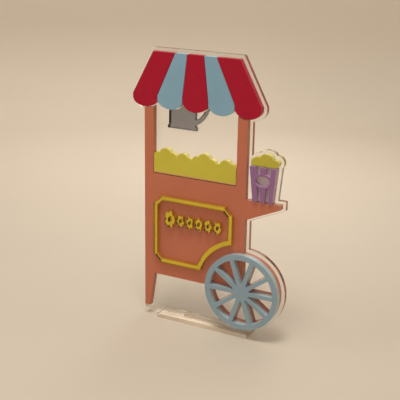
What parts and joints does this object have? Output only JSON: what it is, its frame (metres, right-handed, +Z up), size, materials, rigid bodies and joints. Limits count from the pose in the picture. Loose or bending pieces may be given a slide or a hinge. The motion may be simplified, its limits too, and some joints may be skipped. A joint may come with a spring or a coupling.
{
  "type": "popcorn cart table ornament",
  "caption": "Free-standing popcorn cart made of layered laser-cut acrylic sheets, with a scalloped awning, spoked wheel and cup, its clear back sheet plugged into a slotted clear foot.",
  "frame": {"origin": "under the middle of the whole ornament, on the face the foot rests on", "axes": "+X along the cart towards its tray and wheel, +Y to the back, +Z up"},
  "size_m": [0.0848, 0.0126, 0.1392],
  "materials": {
    "clear_acrylic": "clear, polished faces, flame-smooth laser-cut edges",
    "coral_acrylic": "opaque gloss, laser-cut edges",
    "red_acrylic": "opaque gloss, laser-cut edges",
    "sky_acrylic": "opaque gloss, laser-cut edges",
    "corn_acrylic": "opaque gloss, laser-cut edges",
    "lilac_acrylic": "opaque gloss, laser-cut edges",
    "purple_acrylic": "opaque gloss, laser-cut edges",
    "silver_mirror_acrylic": "silver mirror acrylic, dark cut edges",
    "gold_mirror_acrylic": "gold mirror acrylic, dark olive cut edges"
  },
  "bodies": {
    "base": {"base_plate": "clear_acrylic"},
    "upright": {"back_plate": "clear_acrylic", "cart_body": "coral_acrylic", "awning_stripe_1": "red_acrylic", "awning_stripe_2": "sky_acrylic", "awning_stripe_3": "red_acrylic", "awning_stripe_4": "sky_acrylic", "awning_stripe_5": "red_acrylic", "kettle": "silver_mirror_acrylic", "popcorn_heap": "corn_acrylic", "panel_frame": "gold_mirror_acrylic", "ornament_1": "gold_mirror_acrylic", "ornament_2": "gold_mirror_acrylic", "ornament_3": "gold_mirror_acrylic", "ornament_4": "gold_mirror_acrylic", "ornament_5": "gold_mirror_acrylic", "ornament_6": "gold_mirror_acrylic", "wheel": "sky_acrylic", "cup_back": "lilac_acrylic", "cup_stripes": "purple_acrylic", "cup_popcorn": "corn_acrylic"}
  },
  "joints": [
    {"name": "upright_lift", "type": "slide", "parent": "base", "child": "upright", "axis": [0, 0, 1], "range_m": [0, 0.0024]}
  ]
}
